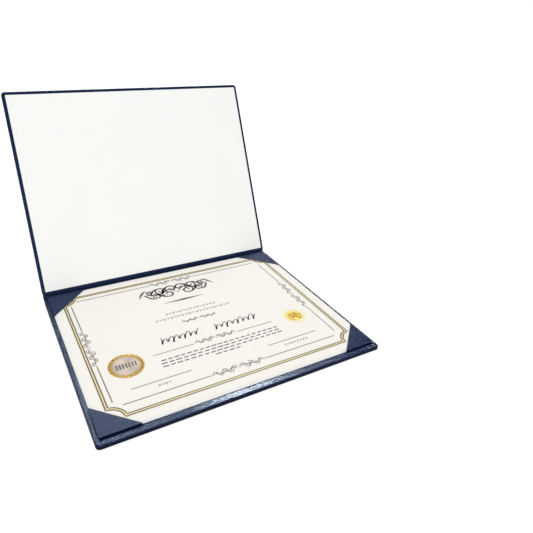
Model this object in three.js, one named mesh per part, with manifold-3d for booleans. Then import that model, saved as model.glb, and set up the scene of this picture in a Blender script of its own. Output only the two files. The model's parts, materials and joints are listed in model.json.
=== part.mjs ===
import * as THREE from 'three';
import { mergeVertices } from 'three/addons/utils/BufferGeometryUtils.js';
import Module from 'manifold-3d';

// Padded leatherette diploma cover, standing open on its back cover with a certificate in its corners.
// Millimetres. X runs along the hinge, Y from the front edge to the hinge, Z up from the table.
// The origin is the centre of the underside of the back cover.

// Both covers
const coverWidth = 292;
const coverDepth = 229;
const coverCorner = 3;
const leather = 0.6;
const edgeRound = 1.2;
const turnIn = 15;
const glueLine = 0.2;

// Back cover, its raised mount board and the certificate
const backBoardThickness = 3;
const mountThickness = 1;
const mountSideBorder = 4.5;
const mountFrontBorder = 7.3;
const mountHingeBorder = 0.5;
const sheetGap = 0.1;
const certificateWidth = 279.4;
const certificateDepth = 215.9;
const certificateThickness = 0.2;

// Corner pockets, folded round the mount board
const pocketSkin = 0.4;
const pocketFlap = 0.3;
const pocketCorner = 1;
const frontPocketLeg = 35;
const backPocketLeg = 41;

// Front cover: board, foam under the leather, paper liner inside
const frontBoardThickness = 2;
const crownHeight = 3.5;
const crownRun = 22;
const crownInset = 1.5;
const linerThickness = 0.3;
const linerSideBorder = 3.8;
const linerHingeBorder = 4.1;
const linerCorner = 0.6;

// Hinge: two fold lines joined by the leather of the spine
const openAngle = 116.6;
const hingeInset = 0.3;
const hingeHeight = 2.15;
const closedGap = 0.3;
const spineThickness = 0.8;
const spineEndGap = 0.65;
const spineTrim = 0.5;
const spineBelly = 4.2;
const spineSteps = 14;

// Gold foil on the certificate
const foil = 0.1;
const foilGap = 0.05;
const frameHalfWidth = 130;
const frameHalfDepth = 98.5;
const frameBand = 3.2;
const frameNotch = 13;
const sealRadius = 17.5;
const sealTeeth = 36;
const sealTooth = 1.6;
const sealFaceRadius = 13.5;
const sealPlace = [-97.5, -34.5];
const rosetteRadius = 9.5;
const rosetteTeeth = 24;
const rosetteTooth = 1.2;
const rosettePlace = [93.7, -33];

// Heights and places that follow from the sizes above
const backThickness = 2 * leather + 2 * glueLine + backBoardThickness;
const mountBottom = backThickness + sheetGap;
const mountTop = mountBottom + mountThickness;
const certificateBottom = mountTop + sheetGap;
const certificateTop = certificateBottom + certificateThickness;
const foilBottom = certificateTop + foilGap;
const pocketInside = foilBottom + foil + foilGap;
const pocketTop = pocketInside + pocketSkin;
const mountWidth = coverWidth - 2 * mountSideBorder;
const mountDepth = coverDepth - mountFrontBorder - mountHingeBorder;
const mountCentreY = (mountFrontBorder - mountHingeBorder) / 2;
const frontThickness = 2 * leather + 2 * glueLine + frontBoardThickness;
const linerFace = frontThickness + glueLine + linerThickness;
const foldSpan = pocketTop + closedGap + linerFace - 2 * hingeHeight;
const frontTilt = THREE.MathUtils.degToRad(180 - openAngle);
const hingeEdgeY = coverDepth / 2;

const wasm = await Module();
wasm.setup();

function toSolid(geometry) {
  const bare = geometry.index ? geometry.toNonIndexed() : geometry.clone();
  bare.deleteAttribute('normal');
  bare.deleteAttribute('uv');
  const merged = mergeVertices(bare, 1e-4);
  const mesh = new wasm.Mesh({
    numProp: 3,
    vertProperties: new Float32Array(merged.attributes.position.array),
    triVerts: new Uint32Array(merged.index.array),
  });
  return new wasm.Manifold(mesh);
}

function toGeometry(solid) {
  const mesh = solid.getMesh();
  const geometry = new THREE.BufferGeometry();
  geometry.setAttribute('position', new THREE.BufferAttribute(new Float32Array(mesh.vertProperties), 3));
  geometry.setIndex(new THREE.BufferAttribute(new Uint32Array(mesh.triVerts), 1));
  geometry.computeVertexNormals();
  return geometry;
}

function roundedRect(width, depth, radius) {
  const x = width / 2;
  const y = depth / 2;
  const shape = new THREE.Shape();
  shape.moveTo(-x + radius, -y);
  shape.lineTo(x - radius, -y);
  shape.absarc(x - radius, -y + radius, radius, -Math.PI / 2, 0);
  shape.absarc(x - radius, y - radius, radius, 0, Math.PI / 2);
  shape.absarc(-x + radius, y - radius, radius, Math.PI / 2, Math.PI);
  shape.absarc(-x + radius, -y + radius, radius, Math.PI, 1.5 * Math.PI);
  return shape;
}

function plate(shape, bottom, top) {
  const geometry = new THREE.ExtrudeGeometry(shape, {
    depth: top - bottom,
    bevelEnabled: false,
    curveSegments: 6,
  });
  return geometry.translate(0, 0, bottom);
}

function softPlate(width, depth, bottom, top) {
  const inner = roundedRect(width - 2 * edgeRound, depth - 2 * edgeRound, coverCorner - edgeRound);
  const geometry = new THREE.ExtrudeGeometry(inner, {
    depth: top - bottom - 2 * edgeRound,
    bevelThickness: edgeRound,
    bevelSize: edgeRound,
    bevelSegments: 4,
    curveSegments: 6,
  });
  return geometry.translate(0, 0, bottom + edgeRound);
}

// Board cut to sit inside the leather, a glue line from it all round
function boardPlate(bottom, thickness) {
  const margin = 2 * (leather + glueLine);
  return plate(roundedRect(coverWidth - margin, coverDepth - margin, coverCorner - leather), bottom, bottom + thickness);
}

// Leather over one board: outer face, edges and the strips turned in over the board
function wrapSolid(thickness) {
  const outside = toSolid(softPlate(coverWidth, coverDepth, 0, thickness));
  const roomWidth = coverWidth - 2 * leather;
  const roomDepth = coverDepth - 2 * leather;
  const room = toSolid(plate(roundedRect(roomWidth, roomDepth, coverCorner - leather), leather, thickness - leather));
  const windowShape = roundedRect(coverWidth - 2 * turnIn, coverDepth - 2 * turnIn, coverCorner);
  const window = toSolid(plate(windowShape, thickness / 2, thickness + leather));
  return outside.subtract(room).subtract(window);
}

// Domed slab below the plane z = leather, its rim set in from the cover's edge
function pillowSolid(inset, depthBelow) {
  const flatWidth = coverWidth - 2 * (inset + crownRun);
  const flatDepth = coverDepth - 2 * (inset + crownRun);
  const dome = new THREE.ExtrudeGeometry(new THREE.Shape([
    new THREE.Vector2(-flatWidth / 2, -flatDepth / 2),
    new THREE.Vector2(flatWidth / 2, -flatDepth / 2),
    new THREE.Vector2(flatWidth / 2, flatDepth / 2),
    new THREE.Vector2(-flatWidth / 2, flatDepth / 2),
  ]), {
    depth: leather,
    bevelThickness: depthBelow + leather,
    bevelSize: crownRun,
    bevelSegments: 8,
  });
  dome.translate(0, 0, leather);
  const below = toSolid(plate(roundedRect(coverWidth, coverDepth, coverCorner), -2 * depthBelow, leather));
  return toSolid(dome).intersect(below);
}

function frontWrapGeometry() {
  const room = pillowSolid(crownInset + leather, crownHeight - leather);
  const crown = pillowSolid(crownInset, crownHeight).subtract(room);
  const skin = wrapSolid(frontThickness).subtract(room);
  return toGeometry(skin.add(crown));
}

function foamGeometry() {
  return toGeometry(pillowSolid(crownInset + leather + glueLine, crownHeight - leather - glueLine));
}

// Corner of the mount board as a triangle: leg along each edge, grown outwards by a margin
function cornerTriangle(signX, signY, leg, margin, radius) {
  const x = signX * (mountWidth / 2 + margin);
  const y = mountCentreY + signY * (mountDepth / 2 + margin);
  const shape = new THREE.Shape();
  shape.moveTo(x - signX * (leg + margin), y);
  shape.lineTo(x - signX * radius, y);
  shape.quadraticCurveTo(x, y, x, y - signY * radius);
  shape.lineTo(x, y - signY * (leg + margin));
  shape.closePath();
  return shape;
}

// Leather folded over a corner of the mount board, down its edges and under it
function pocketGeometry(signX, signY, leg) {
  const wall = sheetGap + pocketSkin;
  const outside = toSolid(plate(cornerTriangle(signX, signY, leg, wall, pocketCorner), mountBottom, pocketTop));
  const roomShape = roundedRect(mountWidth + 2 * sheetGap, mountDepth + 2 * sheetGap, pocketCorner / 2);
  const room = plate(roomShape, mountBottom + pocketFlap, pocketInside).translate(0, mountCentreY, 0);
  return toGeometry(outside.subtract(toSolid(room)));
}

// Mount board with a shallow rebate under each corner for the pocket's turned-under flap
function mountBoardGeometry() {
  const shape = roundedRect(mountWidth, mountDepth, pocketCorner / 2);
  let board = toSolid(plate(shape, mountBottom, mountTop).translate(0, mountCentreY, 0));
  const rebateTop = mountBottom + pocketFlap + sheetGap;
  for (const [signX, signY, leg] of corners) {
    const cut = cornerTriangle(signX, signY, leg + pocketSkin, pocketSkin, pocketCorner);
    board = board.subtract(toSolid(plate(cut, mountBottom - leather, rebateTop)));
  }
  return toGeometry(board);
}

// Rectangle whose corners are scooped out by arcs about the frame's own corners
function scallopedPath(path, inset) {
  const radius = frameNotch + inset;
  const reach = Math.sqrt(radius ** 2 - inset ** 2);
  const lean = Math.atan2(inset, reach);
  [[1, -1], [1, 1], [-1, 1], [-1, -1]].forEach(([signX, signY], turn) => {
    const quarter = turn * Math.PI / 2;
    const start = Math.PI - lean + quarter;
    const end = Math.PI / 2 + lean + quarter;
    path.absarc(signX * frameHalfWidth, signY * frameHalfDepth, radius, start, end, true);
  });
  path.closePath();
  return path;
}

function goldFrameGeometry() {
  const shape = scallopedPath(new THREE.Shape(), 0);
  shape.holes.push(scallopedPath(new THREE.Path(), frameBand));
  return plate(shape, foilBottom, foilBottom + foil).translate(0, mountCentreY, 0);
}

function serratedDisc(radius, teeth, tooth) {
  const points = [];
  for (let i = 0; i < 2 * teeth; i += 1) {
    const reach = i % 2 === 0 ? radius : radius - tooth;
    const angle = i * Math.PI / teeth;
    points.push(new THREE.Vector2(reach * Math.cos(angle), reach * Math.sin(angle)));
  }
  return new THREE.Shape(points);
}

// Section of the spine leather: a slack sheet that bellies down between the two fold lines
function spineGeometry() {
  const halfTilt = frontTilt / 2;
  const along = new THREE.Vector2(Math.cos(frontTilt), Math.sin(frontTilt));
  const start = new THREE.Vector2(hingeInset + spineEndGap, 0);
  const farFold = new THREE.Vector2(Math.cos(halfTilt), Math.sin(halfTilt)).multiplyScalar(foldSpan);
  const end = farFold.clone().addScaledVector(along, -start.x);
  const down = new THREE.Vector2(Math.sin(halfTilt), -Math.cos(halfTilt)).multiplyScalar(spineBelly);
  const curve = new THREE.CubicBezierCurve(start, start.clone().add(down), end.clone().add(down), end);
  const outer = [];
  const inner = [];
  for (let i = 0; i <= spineSteps; i += 1) {
    const point = curve.getPoint(i / spineSteps);
    const tangent = curve.getTangent(i / spineSteps);
    const normal = new THREE.Vector2(tangent.y, -tangent.x).multiplyScalar(spineThickness / 2);
    outer.push(point.clone().add(normal));
    inner.unshift(point.clone().sub(normal));
  }
  const length = coverWidth - 2 * spineTrim;
  const geometry = new THREE.ExtrudeGeometry(new THREE.Shape([...outer, ...inner]), {
    depth: length,
    bevelEnabled: false,
  });
  // The section's own axes become Y and Z, and the extrusion runs along X
  geometry.translate(0, 0, -length / 2);
  geometry.applyMatrix4(new THREE.Matrix4().makeBasis(
    new THREE.Vector3(0, 1, 0), new THREE.Vector3(0, 0, 1), new THREE.Vector3(1, 0, 0)));
  return geometry;
}

function linerGeometry() {
  const depth = coverDepth - linerHingeBorder - linerSideBorder;
  const shape = roundedRect(coverWidth - 2 * linerSideBorder, depth, linerCorner);
  const offset = (linerHingeBorder - linerSideBorder) / 2;
  return plate(shape, linerFace - linerThickness, linerFace).translate(0, offset, 0);
}

const corners = [
  [-1, -1, frontPocketLeg, 'pocket_front_left'],
  [1, -1, frontPocketLeg, 'pocket_front_right'],
  [-1, 1, backPocketLeg, 'pocket_back_left'],
  [1, 1, backPocketLeg, 'pocket_back_right'],
];

const navyLeather = { color: 0x1f2b45, roughness: 0.45, metalness: 0 };
const greyBoard = { color: 0x8f8b82, roughness: 0.9, metalness: 0 };
const whiteCard = { color: 0xf4f5f0, roughness: 0.8, metalness: 0 };
const creamPaper = { color: 0xfaf5ea, roughness: 0.75, metalness: 0 };
const whiteFoam = { color: 0xe6e4dc, roughness: 0.95, metalness: 0 };
const goldFoil = { color: 0xc9a75a, roughness: 0.4, metalness: 0.6 };
const paleGold = { color: 0xd9c9b4, roughness: 0.45, metalness: 0.3 };

function piece(name, geometry, look) {
  const mesh = new THREE.Mesh(geometry, new THREE.MeshStandardMaterial(look));
  mesh.name = name;
  return mesh;
}

function backCover() {
  const group = new THREE.Group();
  group.add(piece('back_board', boardPlate(leather + glueLine, backBoardThickness), greyBoard));
  group.add(piece('back_wrap', toGeometry(wrapSolid(backThickness)), navyLeather));
  group.add(piece('mount_board', mountBoardGeometry(), whiteCard));
  for (const [signX, signY, leg, name] of corners) {
    group.add(piece(name, pocketGeometry(signX, signY, leg), navyLeather));
  }
  group.add(certificate());
  return group;
}

function certificate() {
  const group = new THREE.Group();
  const sheetShape = roundedRect(certificateWidth, certificateDepth, sheetGap);
  const sheet = plate(sheetShape, certificateBottom, certificateTop).translate(0, mountCentreY, 0);
  group.add(piece('certificate', sheet, creamPaper));
  group.add(piece('gold_frame', goldFrameGeometry(), goldFoil));
  const sealTop = foilBottom + foil;
  const seal = piece('seal_rim', plate(serratedDisc(sealRadius, sealTeeth, sealTooth), foilBottom, sealTop), goldFoil);
  const face = new THREE.CylinderGeometry(sealFaceRadius, sealFaceRadius, foil, 40).rotateX(Math.PI / 2);
  const sealFace = piece('seal_face', face.translate(0, 0, sealTop + foilGap + foil / 2), paleGold);
  const rosetteShape = serratedDisc(rosetteRadius, rosetteTeeth, rosetteTooth);
  const rosette = piece('rosette', plate(rosetteShape, foilBottom, sealTop), goldFoil);
  seal.position.set(...sealPlace, 0);
  sealFace.position.set(...sealPlace, 0);
  rosette.position.set(...rosettePlace, 0);
  group.add(seal, sealFace, rosette);
  return group;
}

// The spine turns on the fold line of the back cover
function spine() {
  const group = new THREE.Group();
  group.position.set(0, hingeEdgeY - hingeInset, hingeHeight);
  group.add(piece('spine_strip', spineGeometry(), navyLeather));
  return group;
}

// The front cover lies flat in its own group, padded face down, and the group turns it on its fold line
function frontCover() {
  const fold = new THREE.Group();
  fold.position.set(
    0,
    hingeEdgeY - hingeInset + foldSpan * Math.cos(frontTilt / 2),
    hingeHeight + foldSpan * Math.sin(frontTilt / 2));
  fold.rotation.x = frontTilt;
  const flat = new THREE.Group();
  flat.position.set(0, coverDepth / 2 - hingeInset, -hingeHeight);
  flat.add(piece('front_wrap', frontWrapGeometry(), navyLeather));
  flat.add(piece('front_foam', foamGeometry(), whiteFoam));
  flat.add(piece('front_board', boardPlate(leather + glueLine, frontBoardThickness), greyBoard));
  flat.add(piece('front_liner', linerGeometry(), whiteCard));
  fold.add(flat);
  return fold;
}

const diplomaCover = new THREE.Group();
diplomaCover.name = 'diploma_cover';
diplomaCover.add(backCover(), spine(), frontCover());

export default diplomaCover;
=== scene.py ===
import json
import math

import bmesh
import bpy
from mathutils import Matrix, Vector, noise


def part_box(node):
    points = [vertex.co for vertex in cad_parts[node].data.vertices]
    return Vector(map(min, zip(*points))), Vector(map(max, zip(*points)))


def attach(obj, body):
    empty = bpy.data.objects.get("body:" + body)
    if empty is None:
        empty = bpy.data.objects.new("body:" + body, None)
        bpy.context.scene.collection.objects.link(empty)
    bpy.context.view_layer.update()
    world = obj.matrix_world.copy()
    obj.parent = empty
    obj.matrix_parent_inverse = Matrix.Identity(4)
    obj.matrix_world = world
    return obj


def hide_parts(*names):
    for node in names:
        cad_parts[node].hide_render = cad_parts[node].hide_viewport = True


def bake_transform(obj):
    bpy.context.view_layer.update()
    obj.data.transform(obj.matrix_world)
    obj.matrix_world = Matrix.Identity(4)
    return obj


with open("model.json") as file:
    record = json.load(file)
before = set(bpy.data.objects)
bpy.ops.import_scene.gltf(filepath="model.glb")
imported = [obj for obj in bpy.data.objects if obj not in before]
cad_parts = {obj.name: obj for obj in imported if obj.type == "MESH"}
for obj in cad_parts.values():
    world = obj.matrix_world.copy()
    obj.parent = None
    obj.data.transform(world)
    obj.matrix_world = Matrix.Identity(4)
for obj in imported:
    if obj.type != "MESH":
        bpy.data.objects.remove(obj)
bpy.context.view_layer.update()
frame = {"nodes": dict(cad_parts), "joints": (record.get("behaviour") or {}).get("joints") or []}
nodes = frame["nodes"]
jointPlace = {joint["name"]: Vector(joint["pos_m"]) for joint in frame["joints"]}
scene = bpy.context.scene
mm = 0.001
print("frame loaded")


def paint(red, green, blue):
    # a colour as it is seen on screen, 0 to 255, as the linear colour that shaders use
    linear = []
    for value in (red, green, blue):
        share = value / 255
        linear.append(share / 12.92 if share <= 0.04045 else ((share + 0.055) / 1.055) ** 2.4)
    return (*linear, 1.0)


def addNode(tree, kind, inputs=None, **settings):
    node = tree.nodes.new(kind)
    for name, value in settings.items():
        setattr(node, name, value)
    for name, value in (inputs or {}).items():
        if isinstance(value, bpy.types.NodeSocket):
            tree.links.new(value, node.inputs[name])
        else:
            node.inputs[name].default_value = value
    return node


def calculate(tree, operation, first, second=0.0, third=0.0):
    node = addNode(tree, "ShaderNodeMath", {0: first, 1: second, 2: third}, operation=operation)
    return node.outputs[0]


def newGroup(name, kind, inputs, outputs):
    group = bpy.data.node_groups.new(name, kind)
    for direction, sockets in (("INPUT", inputs), ("OUTPUT", outputs)):
        for label, (socketKind, value) in sockets.items():
            socket = group.interface.new_socket(label, in_out=direction, socket_type=socketKind)
            if value is not None:
                socket.default_value = value
    return group, group.nodes.new("NodeGroupInput"), group.nodes.new("NodeGroupOutput")


# surface effects that several materials share, as node groups
grainLook = {
    "pebbleHeight": 0.6,
    "toothHeight": 0.2,
    "creaseHeight": 0.6,
    "paintedValleyShade": 0.86,
    "pebbleShade": 0.16,
    "pebblePolish": -0.09,
}


def makeLeatherGrain():
    group, given, made = newGroup("leatherGrain", "ShaderNodeTree", {
        "Place": ("NodeSocketVector", None),
        "Grain": ("NodeSocketFloat", 0.0012),
        "Mottle": ("NodeSocketFloat", 0.1),
    }, {
        "Height": ("NodeSocketFloat", None),
        "Shade": ("NodeSocketFloat", None),
        "Matt": ("NodeSocketFloat", None),
    })
    place = given.outputs["Place"]
    fineness = calculate(group, "DIVIDE", 1.0, given.outputs["Grain"])
    drift = addNode(group, "ShaderNodeTexNoise", {"Vector": place, "Scale": 420.0, "Detail": 2.0})
    nudge = addNode(group, "ShaderNodeVectorMath", {0: drift.outputs["Color"], "Scale": 0.0009},
                    operation="SCALE")
    bent = addNode(group, "ShaderNodeVectorMath", {0: place, 1: nudge.outputs["Vector"]})
    pebbles = addNode(group, "ShaderNodeTexVoronoi", {
        "Vector": bent.outputs["Vector"], "Scale": fineness}, feature="DISTANCE_TO_EDGE")
    raised = addNode(group, "ShaderNodeMapRange", {
        "Value": pebbles.outputs["Distance"], "From Max": 0.22}, interpolation_type="SMOOTHSTEP")
    tooth = addNode(group, "ShaderNodeTexNoise", {"Vector": place, "Scale": 2600.0, "Detail": 3.0})
    creases = addNode(group, "ShaderNodeTexNoise", {"Vector": place, "Scale": 190.0, "Detail": 4.0})
    pebble = raised.outputs["Result"]
    grain = calculate(group, "MULTIPLY", pebble, grainLook["pebbleHeight"])
    withTooth = calculate(group, "MULTIPLY_ADD", tooth.outputs["Fac"], grainLook["toothHeight"],
                          grain)
    height = calculate(group, "MULTIPLY_ADD", creases.outputs["Fac"], grainLook["creaseHeight"],
                       withTooth)
    patches = addNode(group, "ShaderNodeTexNoise", {"Vector": place, "Scale": 22.0, "Detail": 3.0})
    centred = calculate(group, "SUBTRACT", patches.outputs["Fac"], 0.5)
    mottled = calculate(group, "MULTIPLY", centred, given.outputs["Mottle"])
    # pebble tops lighter than the valleys between them: painted shade; the mottle is the leather's
    # own tone
    valley = calculate(group, "MULTIPLY_ADD", pebble, grainLook["pebbleShade"], mottled)
    shade = calculate(group, "ADD", valley, grainLook["paintedValleyShade"])
    matt = calculate(group, "MULTIPLY_ADD", pebble, grainLook["pebblePolish"], mottled)
    group.links.new(height, made.inputs["Height"])
    group.links.new(shade, made.inputs["Shade"])
    group.links.new(matt, made.inputs["Matt"])
    return group


def makePaperFibre():
    group, given, made = newGroup("paperFibre", "ShaderNodeTree", {
        "Place": ("NodeSocketVector", None),
        "Fibre": ("NodeSocketFloat", 0.001),
        "Fleck": ("NodeSocketFloat", 0.02),
    }, {
        "Height": ("NodeSocketFloat", None),
        "Shade": ("NodeSocketFloat", None),
    })
    place = given.outputs["Place"]
    fineness = calculate(group, "DIVIDE", 1.0, given.outputs["Fibre"])
    fibres = addNode(group, "ShaderNodeTexNoise", {
        "Vector": place, "Scale": fineness, "Detail": 4.0, "Roughness": 0.65})
    clouds = addNode(group, "ShaderNodeTexNoise", {"Vector": place, "Scale": 14.0, "Detail": 2.0})
    both = calculate(group, "ADD", fibres.outputs["Fac"], clouds.outputs["Fac"])
    centred = calculate(group, "SUBTRACT", both, 1.0)
    shade = calculate(group, "MULTIPLY_ADD", centred, given.outputs["Fleck"], 1.0)
    group.links.new(fibres.outputs["Fac"], made.inputs["Height"])
    group.links.new(shade, made.inputs["Shade"])
    return group


def makeRadialPleats():
    group, given, made = newGroup("radialPleats", "ShaderNodeTree", {
        "Place": ("NodeSocketVector", None),
        "Centre": ("NodeSocketVector", (0, 0, 0)),
        "Pleats": ("NodeSocketFloat", 36.0),
    }, {
        "Height": ("NodeSocketFloat", None),
        "Distance": ("NodeSocketFloat", None),
    })
    offset = addNode(group, "ShaderNodeVectorMath", {
        0: given.outputs["Place"], 1: given.outputs["Centre"]}, operation="SUBTRACT")
    parts = addNode(group, "ShaderNodeSeparateXYZ", {"Vector": offset.outputs["Vector"]})
    angle = calculate(group, "ARCTAN2", parts.outputs["Y"], parts.outputs["X"])
    turns = calculate(group, "MULTIPLY", angle, given.outputs["Pleats"])
    wave = calculate(group, "COSINE", turns)
    height = calculate(group, "MULTIPLY_ADD", wave, 0.5, 0.5)
    flat = addNode(group, "ShaderNodeCombineXYZ", {
        "X": parts.outputs["X"], "Y": parts.outputs["Y"]})
    distance = addNode(group, "ShaderNodeVectorMath", {0: flat.outputs["Vector"]},
                       operation="LENGTH")
    group.links.new(height, made.inputs["Height"])
    group.links.new(distance.outputs["Value"], made.inputs["Distance"])
    return group


leatherGrain = makeLeatherGrain()
paperFibre = makePaperFibre()
radialPleats = makeRadialPleats()


# materials
def newMaterial(name, values):
    material = bpy.data.materials.new(name)
    material.use_nodes = True
    tree = material.node_tree
    shader = tree.nodes["Principled BSDF"]
    for label, value in values.items():
        shader.inputs[label].default_value = value
    place = addNode(tree, "ShaderNodeTexCoord").outputs["Object"]
    return material, tree, shader, place


def shadeColour(tree, shader, colour, shade):
    tint = addNode(tree, "ShaderNodeVectorMath", {0: colour[:3], "Scale": shade}, operation="SCALE")
    tree.links.new(tint.outputs["Vector"], shader.inputs["Base Color"])
    return tint.outputs["Vector"]


def addRelief(tree, shader, height, depth):
    bump = addNode(tree, "ShaderNodeBump", {"Height": height, "Distance": depth})
    tree.links.new(bump.outputs["Normal"], shader.inputs["Normal"])


def leatherMaterial(name, colour, roughness, grain, depth, gloss=0.25, paintedWallShade=1.0):
    material, tree, shader, place = newMaterial(name, {
        "Specular IOR Level": gloss,
        "Specular Tint": (0.66, 0.84, 1.0, 1.0),
    })
    effect = addNode(tree, "ShaderNodeGroup", {"Place": place, "Grain": grain, "Mottle": 0.12},
                     node_tree=leatherGrain)
    shade = effect.outputs["Shade"]
    if paintedWallShade < 1:     # upright faces painted darker than level ones: painted shade
        surface = addNode(tree, "ShaderNodeNewGeometry")
        facing = addNode(tree, "ShaderNodeSeparateXYZ", {"Vector": surface.outputs["Normal"]})
        upright = addNode(tree, "ShaderNodeMapRange", {
            "Value": calculate(tree, "ABSOLUTE", facing.outputs["Z"]),
            "From Min": 0.3, "From Max": 0.85, "To Min": paintedWallShade, "To Max": 1.0})
        shade = calculate(tree, "MULTIPLY", shade, upright.outputs["Result"])
    shadeColour(tree, shader, colour, shade)
    matt = calculate(tree, "ADD", effect.outputs["Matt"], roughness)
    tree.links.new(matt, shader.inputs["Roughness"])
    addRelief(tree, shader, effect.outputs["Height"], depth)
    return material


def paperMaterial(name, colour, fibre, fleck, depth, roughness=0.8):
    material, tree, shader, place = newMaterial(name, {
        "Roughness": roughness, "Specular IOR Level": 0.3})
    effect = addNode(tree, "ShaderNodeGroup", {"Place": place, "Fibre": fibre, "Fleck": fleck},
                     node_tree=paperFibre)
    tint = shadeColour(tree, shader, colour, effect.outputs["Shade"])
    addRelief(tree, shader, effect.outputs["Height"], depth)
    return material, tree, shader, place, tint


def inkMaterial(name, colour, roughness=0.6):
    material, tree, shader, place = newMaterial(name, {"Roughness": roughness})
    effect = addNode(tree, "ShaderNodeGroup", {"Place": place, "Fibre": 0.0005, "Fleck": 0.12},
                     node_tree=paperFibre)
    shadeColour(tree, shader, colour, effect.outputs["Shade"])
    return material


foilLook = {
    "paintedValleyShade": 0.78,
    "ridgeShade": 0.3,
    "wear": 0.15,
}


def foilMaterial(name, colour, centre, pleats, depth, roughness, metallic):
    material, tree, shader, place = newMaterial(name, {"Metallic": metallic})
    rays = addNode(tree, "ShaderNodeGroup", {"Place": place, "Centre": centre, "Pleats": pleats},
                   node_tree=radialPleats)
    rub = addNode(tree, "ShaderNodeTexNoise", {"Vector": place, "Scale": 500.0, "Detail": 2.0})
    # pleat ridges lighter and the valleys between them darker: painted highlight and painted shade
    shade = calculate(tree, "MULTIPLY_ADD", rays.outputs["Height"],
                      foilLook["ridgeShade"], foilLook["paintedValleyShade"])
    shadeColour(tree, shader, colour, shade)
    worn = calculate(tree, "MULTIPLY_ADD", rub.outputs["Fac"], foilLook["wear"], roughness)
    tree.links.new(worn, shader.inputs["Roughness"])
    addRelief(tree, shader, rays.outputs["Height"], depth)
    return material


coverLeather = leatherMaterial(
    "coverLeather", paint(17, 32, 70), roughness=0.36, grain=1.4 * mm, depth=0.24 * mm)
baseLeather = leatherMaterial(
    "baseLeather", paint(16, 33, 78), roughness=0.24, grain=1.1 * mm, depth=0.16 * mm, gloss=0.5)
# a darker, duller copy of the back cover's leather for its upright edges: painted shade
shadedEdgeLeather = leatherMaterial(
    "shadedEdgeLeather", paint(7, 14, 36), roughness=0.56, grain=1.35 * mm, depth=0.12 * mm, gloss=0.06)
# the pockets' upright walls painted almost black: painted shade
pocketLeather = leatherMaterial(
    "pocketLeather", paint(19, 37, 80), roughness=0.32, grain=0.9 * mm, depth=0.05 * mm,
    gloss=0.18, paintedWallShade=0.12)
linerPaper = paperMaterial(
    "linerPaper", paint(247, 248, 245), fibre=1.4 * mm, fleck=0.02, depth=0.02 * mm)[0]
boardGrey = paperMaterial(
    "boardGrey", paint(150, 145, 135), fibre=0.7 * mm, fleck=0.3, depth=0.1 * mm, roughness=0.9)[0]
mountPaper = paperMaterial(
    "mountPaper", paint(246, 247, 244), fibre=1.0 * mm, fleck=0.02, depth=0.02 * mm)[0]
print("leather and paper materials made")


def meshObject(name, mesh, material, smooth=True):
    data = bpy.data.meshes.new(name)
    mesh.to_mesh(data)
    mesh.free()
    piece = bpy.data.objects.new(name, data)
    scene.collection.objects.link(piece)
    data.materials.append(material)
    for face in data.polygons:
        face.use_smooth = smooth
    return piece


# the two covers: leather over board, the front one padded
cover = {
    "width": 292 * mm,
    "depth": 229 * mm,
    "corner": 4 * mm,
    "edge": 1.2 * mm,
    "wallRows": 3,
    "upright": 0.62,      # a face whose normal has less Z than this belongs to the edge
    "topRoll": 0.3 * mm,
    # mm in from an edge
    "fineSteps": [0, 0.2, 0.5, 0.9, 1.2, 1.6, 2.1, 3, 4, 5.5, 7.5, 10, 13, 16.5, 20.5, 25],
    "wideStep": 6 * mm,
}
padding = {
    "board": 3.6 * mm,      # the front cover without its crown
    "crown": 3.5 * mm,
    "run": 22 * mm,
    "inset": 1.5 * mm,
    "ripple": 0.16 * mm,
    "waves": (22, 61),      # broad and fine ripples to a metre
    "openAngle": 116.6,
    "hingeInset": 0.3 * mm,
}


def gridSteps(length):
    near = [step * mm for step in cover["fineSteps"]]
    middle = length - 2 * near[-1]
    count = max(2, round(middle / cover["wideStep"]))
    inner = [near[-1] + middle * i / count for i in range(1, count)]
    return [step - length / 2 for step in near + inner + [length - step for step in reversed(near)]]


def roundCorner(insetX, insetY):
    # offsets from both edges, with the square corner pushed in to an arc,
    # and the distance to the outline
    radius = cover["corner"]
    if insetX >= radius or insetY >= radius:
        return insetX, insetY, min(insetX, insetY)
    u, v = 1 - insetX / radius, 1 - insetY / radius
    roundU, roundV = u * math.sqrt(1 - v * v / 2), v * math.sqrt(1 - u * u / 2)
    return radius * (1 - roundU), radius * (1 - roundV), radius * (1 - math.hypot(roundU, roundV))


def crownShare(inset):
    share = min(max((inset - padding["inset"]) / padding["run"], 0), 1)
    return math.sqrt(1 - (1 - share) ** 2)


def crownLift(x, y, insetX, insetY):
    lift = padding["crown"] * crownShare(insetX) * crownShare(insetY)
    broad, fine = padding["waves"]
    soft = (noise.noise(Vector((x * broad, y * broad, 0.4)))
            + 0.5 * noise.noise(Vector((x * fine, y * fine, 2.1))))
    return lift * (1 - padding["ripple"] / padding["crown"] * (1 + soft))


def noLift(x, y, insetX, insetY):
    return 0.0


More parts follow.
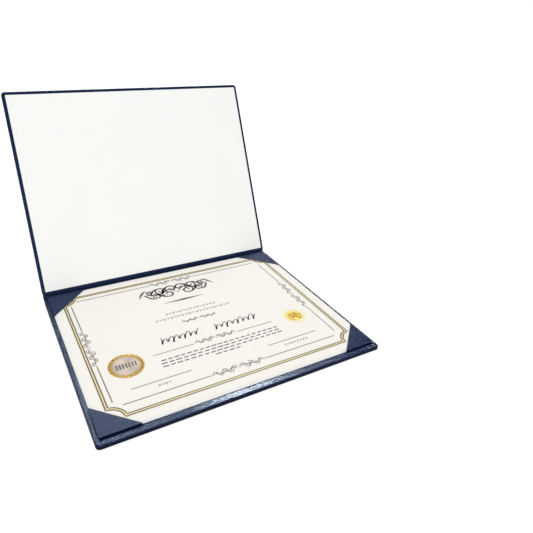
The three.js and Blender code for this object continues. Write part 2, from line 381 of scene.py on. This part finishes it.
def coverSlab(name, high, liftLow, material, wallMaterial):
    xs, ys = gridSteps(cover["width"]), gridSteps(cover["depth"])
    mesh = bmesh.new()

    def sheet(level, outward, lift):
        rows = []
        for y in ys:
            row = []
            for x in xs:
                insetX = cover["width"] / 2 - abs(x)
                insetY = cover["depth"] / 2 - abs(y)
                insetX, insetY, rim = roundCorner(insetX, insetY)
                px = math.copysign(cover["width"] / 2 - insetX, x)
                py = math.copysign(cover["depth"] / 2 - insetY, y)
                over = max(cover["edge"] - rim, 0)
                drop = cover["edge"] - math.sqrt(max(cover["edge"] ** 2 - over ** 2, 0))
                height = level + outward * (lift(px, py, insetX, insetY) - drop)
                row.append(mesh.verts.new((px, py, height)))
            rows.append(row)
        for j in range(len(ys) - 1):
            for i in range(len(xs) - 1):
                corners = [rows[j][i], rows[j][i + 1], rows[j + 1][i + 1], rows[j + 1][i]]
                mesh.faces.new(corners if outward > 0 else corners[::-1])
        rightSide, leftSide = [row[-1] for row in rows[1:]], [row[0] for row in rows[-2:0:-1]]
        return rows[0] + rightSide + rows[-1][-2::-1] + leftSide

    top = sheet(high, 1, noLift)
    bottom = sheet(0.0, -1, liftLow)
    rings = [bottom]
    for k in range(1, cover["wallRows"]):
        share = k / cover["wallRows"]
        rings.append([mesh.verts.new(a.co.lerp(b.co, share)) for a, b in zip(bottom, top)])
    rings.append(top)
    for lower, upper in zip(rings, rings[1:]):
        for i in range(len(lower)):
            j = (i + 1) % len(lower)
            mesh.faces.new((lower[i], lower[j], upper[j], upper[i]))
    piece = meshObject(name, mesh, material)
    piece.data.materials.append(wallMaterial)
    for face in piece.data.polygons:      # the upright edges, below the rounding of the inside face; on the back cover their darker leather is painted shade
        onEdge = abs(face.normal.z) < cover["upright"] and face.center.z < high - cover["topRoll"]
        face.material_index = int(onEdge)
    return piece


hinge = jointPlace["spine_fold"]
fold = jointPlace["cover_fold"]
tilt = math.radians(180 - padding["openAngle"])
frontPlace = (Matrix.Translation(fold) @ Matrix.Rotation(tilt, 4, "X")
              @ Matrix.Translation((0, cover["depth"] / 2 - padding["hingeInset"], -hinge.z)))
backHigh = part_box("back_wrap")[1].z

backSkin = coverSlab("backSkin", backHigh, noLift, baseLeather, shadedEdgeLeather)
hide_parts("back_wrap")
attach(backSkin, "back_cover")

frontPad = coverSlab("frontPad", padding["board"], crownLift, coverLeather, coverLeather)
frontPad.data.transform(frontPlace)
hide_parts("front_wrap", "front_foam")
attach(frontPad, "front_cover")
print("covers made")


# the slack leather of the spine, in two halves that meet midway
spineSheet = {
    "halfLength": 145.6 * mm,
    "thickness": 0.7 * mm,
    "lowPath": [(112.4, 1.3), (114.6, 1.38), (116.4, 1.72), (117.9, 2.5)],      # mm, Y and Z
    "highPath": [(117.9, 2.5), (119.3, 3.48), (120.4, 4.9), (121.65, 7.0)],
    "samples": 6,
    "lowTurn": ((114.4, 1.4), (116.9, 1.9)),
    "highTurn": ((118.7, 3.0), (120.5, 5.1)),
    "columns": 48,
}


def smoothPath(points, samples):
    # a Catmull-Rom line through the points
    ends = [2 * Vector(points[0]) - Vector(points[1])] + [Vector(p) for p in points]
    ends.append(2 * Vector(points[-1]) - Vector(points[-2]))
    line = []
    for a, b, c, d in zip(ends, ends[1:], ends[2:], ends[3:]):
        for k in range(samples):
            t = k / samples
            line.append(0.5 * (2 * b + (c - a) * t + (2 * a - 5 * b + 4 * c - d) * t * t
                               + (3 * b - a - 3 * c + d) * t ** 3))
    return line + [ends[-2]]


wholeSpine = smoothPath(spineSheet["lowPath"] + spineSheet["highPath"][1:], spineSheet["samples"])
splitAt = (len(spineSheet["lowPath"]) - 1) * spineSheet["samples"]


def spineHalf(name, first, last):
    mesh = bmesh.new()
    half = spineSheet["thickness"] / 2
    section = []
    for side in (1, -1):
        span = range(first, last + 1) if side > 0 else range(last, first - 1, -1)
        for k in span:
            before = wholeSpine[max(k - 1, 0)]
            after = wholeSpine[min(k + 1, len(wholeSpine) - 1)]
            along = (after - before).normalized()
            point = wholeSpine[k] * mm + Vector((along.y, -along.x)) * half * side
            section.append(point)
    rings = []
    for i in range(spineSheet["columns"] + 1):
        x = spineSheet["halfLength"] * (2 * i / spineSheet["columns"] - 1)
        rings.append([mesh.verts.new((x, p.x, p.y)) for p in section])
    for here, there in zip(rings, rings[1:]):
        for k in range(len(section)):
            n = (k + 1) % len(section)
            mesh.faces.new((here[k], there[k], there[n], here[n]))
    mesh.faces.new(rings[0])
    mesh.faces.new(rings[-1][::-1])
    bmesh.ops.recalc_face_normals(mesh, faces=mesh.faces)
    piece = meshObject(name, mesh, coverLeather)
    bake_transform(piece)
    return piece


lowSpine = spineHalf("spineLow", 0, splitAt)
spineHalf("spineHigh", splitAt, len(wholeSpine) - 1)
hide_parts("spine_strip")
print("spine made")


# carried-over pieces: soft edges and their own materials
softEdge = {
    "liner": 0.08 * mm,
    "mount": 0.12 * mm,
    "pocket": 0.35 * mm,
    "weld": 0.001 * mm,
    "segments": 3,
    "angle": 35,
}


def dress(name, material, edge=0.0):
    piece = nodes[name]
    piece.data.materials.clear()
    piece.data.materials.append(material)
    if edge:
        weld = piece.modifiers.new("weld", "WELD")
        weld.merge_threshold = softEdge["weld"]
        soften = piece.modifiers.new("soften", "BEVEL")
        soften.width = edge
        soften.segments = softEdge["segments"]
        soften.limit_method = "ANGLE"
        soften.angle_limit = math.radians(softEdge["angle"])
        soften.harden_normals = True


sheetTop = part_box("certificate")[1].z
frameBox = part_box("gold_frame")
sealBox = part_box("seal_rim")
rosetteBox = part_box("rosette")
sealCentre = (sealBox[0] + sealBox[1]) / 2
rosetteCentre = (rosetteBox[0] + rosetteBox[1]) / 2

certificatePaper, paperTree, paperShader, paperPlace, paperTint = paperMaterial(
    "certificatePaper", paint(254, 251, 243), fibre=1.2 * mm, fleck=0.015, depth=0.02 * mm,
    roughness=0.7)
rosetteGlow = {      # the yellow print that fades out round the rosette
    "near": 8 * mm,
    "far": 17 * mm,
    "share": 0.85,
    "colour": paint(252, 240, 176),
}
glow = addNode(paperTree, "ShaderNodeGroup", {"Place": paperPlace, "Centre": rosetteCentre},
               node_tree=radialPleats)
glowShare = addNode(paperTree, "ShaderNodeMapRange", {
    "Value": glow.outputs["Distance"],
    "From Min": rosetteGlow["near"], "From Max": rosetteGlow["far"],
    "To Min": rosetteGlow["share"], "To Max": 0.0,
}, interpolation_type="SMOOTHSTEP")
glowMix = addNode(paperTree, "ShaderNodeMix", {
    0: glowShare.outputs["Result"], 6: paperTint, 7: rosetteGlow["colour"]}, data_type="RGBA")
paperTree.links.new(glowMix.outputs[2], paperShader.inputs["Base Color"])

frameFill = inkMaterial("frameFill", paint(240, 219, 148), 0.5)
frameLine = inkMaterial("frameLine", paint(64, 50, 18), 0.5)
greyInk = inkMaterial("greyInk", paint(120, 119, 112))
paleInk = inkMaterial("paleInk", paint(125, 124, 118))
darkInk = inkMaterial("darkInk", paint(52, 52, 52))
penInk = inkMaterial("penInk", paint(96, 95, 93))
sealGold = foilMaterial(
    "sealGold", paint(186, 152, 66), sealCentre, pleats=36.0, depth=0.4 * mm, roughness=0.38,
    metallic=0.6)
rosetteGold = foilMaterial(
    "rosetteGold", paint(238, 205, 96), rosetteCentre, pleats=24.0, depth=0.4 * mm, roughness=0.32,
    metallic=0.6)
sealPale = foilMaterial(
    "sealPale", paint(196, 178, 162), sealCentre, pleats=3.0, depth=0.1 * mm, roughness=0.45,
    metallic=0.1)

dress("back_board", boardGrey)
dress("front_board", boardGrey)
dress("front_liner", linerPaper, softEdge["liner"])
dress("mount_board", mountPaper, softEdge["mount"])
dress("certificate", certificatePaper)
dress("gold_frame", frameFill)
dress("seal_rim", sealGold)
dress("seal_face", sealPale)
dress("rosette", rosetteGold)
for pocket in ("pocket_front_left", "pocket_front_right", "pocket_back_left", "pocket_back_right"):
    dress(pocket, pocketLeather, softEdge["pocket"])
print("carried-over pieces dressed")


# printed strokes: flat ribbons with a pen's width, on the sheet
printing = {
    "lift": 0.012 * mm,
    "thickness": 0.02 * mm,
    "finest": 0.04,      # mm
}


def addRibbon(mesh, points, widths, low, closed=False):
    # points and widths in mm, in the plane of the sheet
    count = len(points)
    high = low + printing["thickness"]
    rings = []
    for k, point in enumerate(points):
        before = points[(k - 1) % count] if closed else points[max(k - 1, 0)]
        after = points[(k + 1) % count] if closed else points[min(k + 1, count - 1)]
        along = Vector((after[0] - before[0], after[1] - before[1]))
        side = Vector((-along.y, along.x)).normalized() if along.length else Vector((0, 1))
        half = max(widths[k] if isinstance(widths, list) else widths, printing["finest"]) / 2
        left = (Vector(point[:2]) + side * half) * mm
        right = (Vector(point[:2]) - side * half) * mm
        rings.append([mesh.verts.new((p.x, p.y, z)) for p, z in
                      ((left, low), (right, low), (right, high), (left, high))])
    pairs = list(zip(rings, rings[1:] + ([rings[0]] if closed else [])))
    for here, there in pairs:
        for k in range(4):
            n = (k + 1) % 4
            mesh.faces.new((here[k], here[n], there[n], there[k]))
    if not closed:
        mesh.faces.new(rings[0][::-1])
        mesh.faces.new(rings[-1])


def printStrokes(name, strokes, material, low=None):
    mesh = bmesh.new()
    base = sheetTop + printing["lift"] if low is None else low
    for points, widths, closed in strokes:
        addRibbon(mesh, points, widths, base, closed)
    bmesh.ops.recalc_face_normals(mesh, faces=mesh.faces)
    piece = meshObject(name, mesh, material, smooth=False)
    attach(piece, "back_cover")


goldLines = {
    "notch": 13.0,
    "band": 3.2,
    "line": 1.15,
    "arcSteps": 12,
}


def scallopPoints(inset, notch):
    # the frame's outline in mm: a rectangle, scooped out round the frame's own corners
    halfWidth = frameBox[1].x / mm
    low, high = frameBox[0].y / mm, frameBox[1].y / mm
    halfDepth, middle = (high - low) / 2, (high + low) / 2
    radius = notch + inset
    lean = math.atan2(inset, math.sqrt(radius ** 2 - inset ** 2))
    points = []
    for turn, (signX, signY) in enumerate(((1, -1), (1, 1), (-1, 1), (-1, -1))):
        start = math.pi - lean + turn * math.pi / 2
        end = math.pi / 2 + lean + turn * math.pi / 2
        for k in range(goldLines["arcSteps"] + 1):
            angle = start + (end - start) * k / goldLines["arcSteps"]
            points.append((signX * halfWidth + radius * math.cos(angle),
                           middle + signY * halfDepth + radius * math.sin(angle)))
    return points


lineLow = frameBox[1].z + printing["lift"]
frameStrokes = []
outerInset = goldLines["line"] / 3
for inset in (outerInset, goldLines["band"] - outerInset):
    frameStrokes.append((scallopPoints(inset, goldLines["notch"]), goldLines["line"], True))
printStrokes("frameLines", frameStrokes, frameLine, lineLow)


vine = {      # shares of the scroll's height, and broad and thin line widths in mm
    "lozenge": (0.16, 0.24),
    "lozengeLine": 0.5,
    "stemSteps": 30,
    "sway": 0.2,
    "bends": 2.4,
    "stemLine": (0.9, 0.4),
    "curls": [(0.07, 1, 0.34), (0.15, -1, 0.33), (0.24, 1, 0.29), (0.33, -1, 0.23),
              (0.41, 1, 0.17)],      # place along the scroll, side and size
    "curlEnd": 0.2,
    "curlTurns": 1.4,
    "curlLine": (0.85, 0.35),
    "leafStart": 0.1,
    "leafReach": 0.5,
    "leafRise": 0.42,
    "leafDroop": 0.55,
    "leafSteps": 4,
    "leafLine": (1.0, 0.25),
}


def spiralPoints(startRadius, endRadius, startAngle, turns, count=26):
    points = []
    for k in range(count):
        share = k / (count - 1)
        radius = startRadius + (endRadius - startRadius) * share
        angle = startAngle + 2 * math.pi * turns * share
        points.append((radius * math.cos(angle), radius * math.sin(angle)))
    return points


def taper(count, line, weight):
    broad, thin = line[0] * weight, line[1] * weight
    return [thin + (broad - thin) * math.sin(math.pi * k / (count - 1)) for k in range(count)]


def vineScroll(length, height, weight=1.0):
    # curling vines to both sides of a small lozenge, centred on the origin, mm
    wide, tall = height * vine["lozenge"][0], height * vine["lozenge"][1]
    steps, sway = vine["stemSteps"], height * vine["sway"]
    strokes = [([(0, tall), (wide, 0), (0, -tall), (-wide, 0)], vine["lozengeLine"] * weight, True)]
    for side in (1, -1):
        stem = [(side * length / 2 * k / steps,
                 sway * math.sin(vine["bends"] * math.pi * k / steps) * (1 - k / (steps + 4)))
                for k in range(2, steps + 1)]
        strokes.append((stem, taper(len(stem), vine["stemLine"], weight), False))
        for share, lean, radius in vine["curls"]:
            curl = spiralPoints(height * radius, height * radius * vine["curlEnd"],
                                -lean * math.pi / 2, lean * vine["curlTurns"])
            moved = [(side * (share * length + x), lean * sway + y) for x, y in curl]
            strokes.append((moved, taper(len(moved), vine["curlLine"], weight), False))
            leaf = []
            for k in range(vine["leafSteps"] + 1):
                t = k / vine["leafSteps"]
                along = share * length + height * (vine["leafStart"] + vine["leafReach"] * t)
                across = height * (vine["leafRise"] - vine["leafDroop"] * t * t)
                leaf.append((side * along, lean * across))
            strokes.append((leaf, taper(len(leaf), vine["leafLine"], weight), False))
    return strokes


def placeStrokes(strokes, x, y, quarterTurn=False):
    placed = []
    for points, widths, closed in strokes:
        turned = [(-py, px) if quarterTurn else (px, py) for px, py in points]
        placed.append(([(px + x, py + y) for px, py in turned], widths, closed))
    return placed


rules = {
    "width": 1.15,
    "left": -122.0,
    "right": 117.5,
    "low": -81.2,
    "high": 92.0,
    "sideSpan": (-74.7, 84.5),
    "levelSpan": (-115.0, 111.5),
    "scrollHeight": 8.5,
    "scrollRoom": 1.5,
    "sideGap": (-24.5, 36.0),      # where scrolls break the rules
    "levelGap": (-31.0, 26.0),
}


def ruleStrokes():
    strokes = []
    sideGap, levelGap = rules["sideGap"], rules["levelGap"]
    sideSpan, levelSpan = rules["sideSpan"], rules["levelSpan"]
    sideScroll = vineScroll(sideGap[1] - sideGap[0] - rules["scrollRoom"], rules["scrollHeight"])
    levelScroll = vineScroll(levelGap[1] - levelGap[0] - rules["scrollRoom"], rules["scrollHeight"])
    for y in (rules["low"], rules["high"]):
        for start, end in ((levelSpan[0], levelGap[0]), (levelGap[1], levelSpan[1])):
            strokes.append(([(start, y), (end, y)], rules["width"], False))
        strokes += placeStrokes(levelScroll, sum(levelGap) / 2, y)
    for x in (rules["left"], rules["right"]):
        for start, end in ((sideSpan[0], sideGap[0]), (sideGap[1], sideSpan[1])):
            strokes.append(([(x, start), (x, end)], rules["width"], False))
        strokes += placeStrokes(sideScroll, x, sum(sideGap) / 2, quarterTurn=True)
    return strokes


printStrokes("greyRules", ruleStrokes(), greyInk)


pen = {
    "loopSteps": 14,
    "leastSwell": 0.7,
    "swell": 0.3,
    "swellPace": 0.43,
    "swellStart": 1.2,
    "loopWidth": 0.12,
    "lean": 0.4,
    "thinnest": 0.4,
}


def penLine(startX, endX, y, height, loops, width):
    # one running line of plain loops that lean to the right, and swell and shrink, mm
    count = loops * pen["loopSteps"]
    points = []
    widths = []
    for k in range(count + 1):
        share = k / count
        angle = 2 * math.pi * loops * share
        swing = math.sin(angle * pen["swellPace"] + pen["swellStart"])
        swell = pen["leastSwell"] + pen["swell"] * swing
        rise = height / 2 * swell * math.cos(angle)
        slide = height * pen["loopWidth"] * swell * math.sin(angle) + pen["lean"] * rise
        points.append((startX + (endX - startX) * share + slide, y + rise))
        pressure = abs(math.sin(math.pi * loops * k / count))
        widths.append(width * (pen["thinnest"] + (1 - pen["thinnest"]) * pressure))
    return points, widths, False


writing = {
    "intro": [(-35, 26, 28, 3.8, 15, 0.85), (-49, 40, 20, 4.0, 21, 0.85)],
    "name": [(-57, -14, -14.5, 11.0, 7, 1.8), (3, 55, -14.5, 11.0, 8, 1.8)],
    "labels": [(-80, -67, -72.0, 3.4, 4, 0.7), (55, 84, -72.0, 3.4, 8, 0.7)],
}
printStrokes("penLines", [penLine(*line) for line in writing["intro"] + writing["labels"]], penInk)
printStrokes("nameFlourish", [penLine(*line) for line in writing["name"]], darkInk)

signing = {
    "rule": 1.05,
    "lines": [((-103, -66.3), (-45, -66.3)), ((40, -65.8), (99, -65.8)),
              ((-70, -31.6), (-27, -31.6)), ((22, -31.6), (65, -31.6))],
    "scrolls": [(46, 7.0, -2.5, -30.5), (42, 5.0, -3, 8)],      # length, height, x and y
}
signStrokes = [([start, end], signing["rule"], False) for start, end in signing["lines"]]
for length, height, x, y in signing["scrolls"]:
    signStrokes += placeStrokes(vineScroll(length, height), x, y)
printStrokes("signingRules", signStrokes, paleInk)
print("rules and scrolls printed")


# rows of short bars on the sheet, and ridges and beads round the seals
def endGroup(group, placed, given, made):
    real = addNode(group, "GeometryNodeRealizeInstances", {"Geometry": placed.outputs["Instances"]})
    painted = addNode(group, "GeometryNodeSetMaterial", {
        "Geometry": real.outputs["Geometry"], "Material": given.outputs["Material"]})
    group.links.new(painted.outputs["Geometry"], made.inputs["Geometry"])


def makeBarRow():
    group, given, made = newGroup("barRow", "GeometryNodeTree", {
        "Bars": ("NodeSocketInt", 11),
        "Pitch": ("NodeSocketFloat", 0.007),
        "Width": ("NodeSocketFloat", 0.0035),
        "Height": ("NodeSocketFloat", 0.02),
        "Thickness": ("NodeSocketFloat", 0.00002),
        "Uneven": ("NodeSocketFloat", 0.0),
        "Material": ("NodeSocketMaterial", None),
    }, {"Geometry": ("NodeSocketGeometry", None)})
    step = addNode(group, "ShaderNodeCombineXYZ", {"X": given.outputs["Pitch"]})
    line = addNode(group, "GeometryNodeMeshLine", {
        "Count": given.outputs["Bars"], "Offset": step.outputs["Vector"]})
    size = addNode(group, "ShaderNodeCombineXYZ", {
        "X": given.outputs["Width"], "Y": given.outputs["Height"], "Z": given.outputs["Thickness"]})
    bar = addNode(group, "GeometryNodeMeshCube", {"Size": size.outputs["Vector"]})
    spare = calculate(group, "SUBTRACT", 1.0, given.outputs["Uneven"])
    shrink = addNode(group, "FunctionNodeRandomValue", {2: spare, 3: 1.0, "Seed": 4},
                     data_type="FLOAT")
    scale = addNode(group, "ShaderNodeCombineXYZ", {"X": shrink.outputs[1], "Y": 1.0, "Z": 1.0})
    placed = addNode(group, "GeometryNodeInstanceOnPoints", {
        "Points": line.outputs["Mesh"], "Instance": bar.outputs["Mesh"],
        "Scale": scale.outputs["Vector"]})
    endGroup(group, placed, given, made)
    return group


def makeBeadRing():
    group, given, made = newGroup("beadRing", "GeometryNodeTree", {
        "Beads": ("NodeSocketInt", 40),
        "Radius": ("NodeSocketFloat", 0.012),
        "Bead": ("NodeSocketFloat", 0.0005),
        "Long": ("NodeSocketFloat", 1.0),
        "Flat": ("NodeSocketFloat", 0.3),
        "Material": ("NodeSocketMaterial", None),
    }, {"Geometry": ("NodeSocketGeometry", None)})
    circle = addNode(group, "GeometryNodeMeshCircle", {
        "Vertices": given.outputs["Beads"], "Radius": given.outputs["Radius"]})
    bead = addNode(group, "GeometryNodeMeshUVSphere", {
        "Segments": 10, "Rings": 6, "Radius": given.outputs["Bead"]})
    here = addNode(group, "GeometryNodeInputPosition")
    turn = addNode(group, "FunctionNodeAlignRotationToVector", {"Vector": here.outputs["Position"]},
                   axis="X")
    scale = addNode(group, "ShaderNodeCombineXYZ", {
        "X": given.outputs["Long"], "Y": 1.0, "Z": given.outputs["Flat"]})
    placed = addNode(group, "GeometryNodeInstanceOnPoints", {
        "Points": circle.outputs["Mesh"], "Instance": bead.outputs["Mesh"],
        "Rotation": turn.outputs["Rotation"], "Scale": scale.outputs["Vector"]})
    endGroup(group, placed, given, made)
    return group


def growPiece(name, tree, values, place, smooth=False):
    piece = bpy.data.objects.new(name, bpy.data.meshes.new(name))
    scene.collection.objects.link(piece)
    grower = piece.modifiers.new("grow", "NODES")
    grower.node_group = tree
    for socket in tree.interface.items_tree:
        if socket.name in values:
            grower[socket.identifier] = values[socket.name]
    graph = bpy.context.evaluated_depsgraph_get()
    grown = bpy.data.meshes.new_from_object(piece.evaluated_get(graph))
    piece.modifiers.clear()
    piece.data = grown
    grown.transform(Matrix.Translation(place))
    for face in grown.polygons:
        face.use_smooth = smooth
    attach(piece, "back_cover")


barRow = makeBarRow()
beadRing = makeBeadRing()

# a broad dark scroll over a pointed rule, at the head of the sheet
heading = {
    "centre": (-3.5, 71.5),
    "length": 78.0,
    "height": 24.0,
    "weight": 2.6,
    "rule": [((-29, 49), (-3.5, 49), (22, 49)), [0.3, 3.4, 0.3]],
}
headingScroll = vineScroll(heading["length"], heading["height"], heading["weight"])
headingStrokes = placeStrokes(headingScroll, *heading["centre"])
headingStrokes.append((*heading["rule"], False))
printStrokes("headingScroll", headingStrokes, darkInk)

bodyBars = {
    "height": 1.7,
    "fill": 0.88,
    "uneven": 0.3,
    "rows": {      # first and last bar's x, y, and the number of bars
        "bodyBarsOne": (-63, 63, -42.0, 20),
        "bodyBarsTwo": (-64, 62, -46.4, 18),
        "bodyBarsThree": (-64, 63, -50.8, 19),
        "bodyBarsFour": (-11, 11, -55.2, 4),
    },
}
for rowName, (firstX, lastX, y, count) in bodyBars["rows"].items():
    pitch = (lastX - firstX) / (count - 1)
    growPiece(rowName, barRow, {
        "Bars": count, "Pitch": pitch * mm, "Width": pitch * bodyBars["fill"] * mm,
        "Height": bodyBars["height"] * mm, "Thickness": printing["thickness"],
        "Uneven": bodyBars["uneven"], "Material": penInk,
    }, (firstX * mm, y * mm, sheetTop + printing["lift"]))

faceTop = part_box("seal_face")[1].z
sealBand = {"bars": 7, "pitch": 3.0, "width": 1.7, "height": 7.0}     # mm
bandStart = sealCentre.x - (sealBand["bars"] - 1) * sealBand["pitch"] * mm / 2
growPiece("sealBand", barRow, {
    "Bars": sealBand["bars"], "Pitch": sealBand["pitch"] * mm, "Width": sealBand["width"] * mm,
    "Height": sealBand["height"] * mm, "Thickness": printing["thickness"], "Material": penInk,
}, (bandStart, sealCentre.y, faceTop + printing["lift"]))

beadRings = {
    "sealRidges": {"Beads": 52, "Radius": 15.4 * mm, "Bead": 0.5 * mm, "Long": 3.0, "Flat": 0.7},
    "sealBeads": {"Beads": 44, "Radius": 12.6 * mm, "Bead": 0.5 * mm, "Long": 1.0, "Flat": 0.45},
    "rosettePleats": {"Beads": 24, "Radius": 6.6 * mm, "Bead": 0.75 * mm, "Long": 2.8, "Flat": 0.5},
}
for ringName, centre, top, foil in (
        ("sealRidges", sealCentre, sealBox[1].z, sealGold),
        ("sealBeads", sealCentre, faceTop, sealGold),
        ("rosettePleats", rosetteCentre, rosetteBox[1].z, rosetteGold)):
    growPiece(ringName, beadRing, {**beadRings[ringName], "Material": foil},
              (centre.x, centre.y, top), True)
print("bars, ridges and beads made")


# floor, lights and camera
studio = {
    "worldStrength": 0.8,
    "ceiling": 0.06,
    "skyFade": (0.08, 0.42),
    "keyPower": 11.0,
    "keyPlace": (-0.6, -1.7, 0.9),
    "keySize": (1.2, 1.2),
    "keyTarget": (0, 0.05, 0.05),
    "sheens": [        # power, place and size of the lamps that glance off the leather
        (14.5, (0.56, 0.81, 1.02), (0.22, 0.16)),
        (5.5, (-0.02, 0.94, 1.09), (0.5, 0.4)),
    ],
    "sheenTarget": (0, -0.11, 0),
    "floorHalf": 30,
    "floorLevel": -0.05 * mm,
    "floorShade": 0.85,
    "floorLift": 0.5,
}

floorMesh = bmesh.new()
bmesh.ops.create_grid(floorMesh, x_segments=1, y_segments=1, size=studio["floorHalf"])
floorPaint, floorTree, floorShader, _ = newMaterial("floorPaint", {
    "Base Color": (*[studio["floorShade"]] * 3, 1), "Roughness": 0.9, "Specular IOR Level": 0.0})
seen = addNode(floorTree, "ShaderNodeLightPath").outputs
shine = calculate(floorTree, "MAXIMUM", seen["Is Camera Ray"], seen["Is Glossy Ray"])
lift = calculate(floorTree, "MULTIPLY", shine, studio["floorLift"])
floorShader.inputs["Emission Color"].default_value = (1, 1, 1, 1)
floorTree.links.new(lift, floorShader.inputs["Emission Strength"])
floor = meshObject("floor", floorMesh, floorPaint, smooth=False)
floor.location.z = studio["floorLevel"]

world = bpy.data.worlds.new("studio")
scene.world = world
world.use_nodes = True
worldTree = world.node_tree
background = worldTree.nodes["Background"]
background.inputs["Color"].default_value = (1, 1, 1, 1)
ray = addNode(worldTree, "ShaderNodeLightPath").outputs
straight = calculate(worldTree, "MAXIMUM", ray["Is Camera Ray"], ray["Is Transmission Ray"])
# reflections see the sky dimmer overhead, as in a studio
direction = addNode(worldTree, "ShaderNodeTexCoord")
sky = addNode(worldTree, "ShaderNodeSeparateXYZ", {"Vector": direction.outputs["Generated"]})
overhead = addNode(worldTree, "ShaderNodeMapRange", {
    "Value": sky.outputs["Z"], "From Min": studio["skyFade"][0], "From Max": studio["skyFade"][1],
    "To Min": 1.0, "To Max": studio["ceiling"]}, interpolation_type="SMOOTHSTEP")
lit = addNode(worldTree, "ShaderNodeMix", {
    0: ray["Is Glossy Ray"], 2: studio["worldStrength"], 3: overhead.outputs["Result"]})
level = addNode(worldTree, "ShaderNodeMix", {0: straight, 2: lit.outputs[0], 3: 1.0})
worldTree.links.new(level.outputs[0], background.inputs["Strength"])


def areaLight(name, place, power, size, target):
    lamp = bpy.data.lights.new(name, "AREA")
    lamp.shape = "RECTANGLE"
    lamp.size, lamp.size_y = size
    lamp.energy = power
    holder = bpy.data.objects.new(name, lamp)
    holder.location = place
    holder.rotation_euler = (Vector(target) - Vector(place)).to_track_quat("-Z", "Y").to_euler()
    scene.collection.objects.link(holder)
    return holder


areaLight("keyLight", studio["keyPlace"], studio["keyPower"], studio["keySize"],
          studio["keyTarget"])
for number, (power, place, size) in enumerate(studio["sheens"]):
    sheen = areaLight(f"sheenLight{number}", place, power, size, studio["sheenTarget"])
    sheen.visible_diffuse = False

view = {
    "place": (-0.18940, -0.38993, 0.31483),
    "right": (0.87243, -0.48586, 0.05293),
    "up": (0.18742, 0.43260, 0.88189),
    "back": (-0.45138, -0.75947, 0.46847),
    "focal": 487.84,      # pixels, of a picture 533 wide
    "centre": (242.64, 257.43),
    "picture": 533,
}
camera = bpy.data.objects.new("camera", bpy.data.cameras.new("camera"))
scene.collection.objects.link(camera)
turn = Matrix((view["right"], view["up"], view["back"])).transposed()
camera.matrix_world = Matrix.Translation(view["place"]) @ turn.to_4x4()
camera.data.sensor_width = 36
camera.data.lens = view["focal"] / view["picture"] * camera.data.sensor_width
camera.data.shift_x = (view["picture"] / 2 - view["centre"][0]) / view["picture"]
camera.data.shift_y = (view["centre"][1] - view["picture"] / 2) / view["picture"]
camera.data.clip_start = 0.01
scene.camera = camera
scene.view_settings.view_transform = "Standard"
print("stage set")
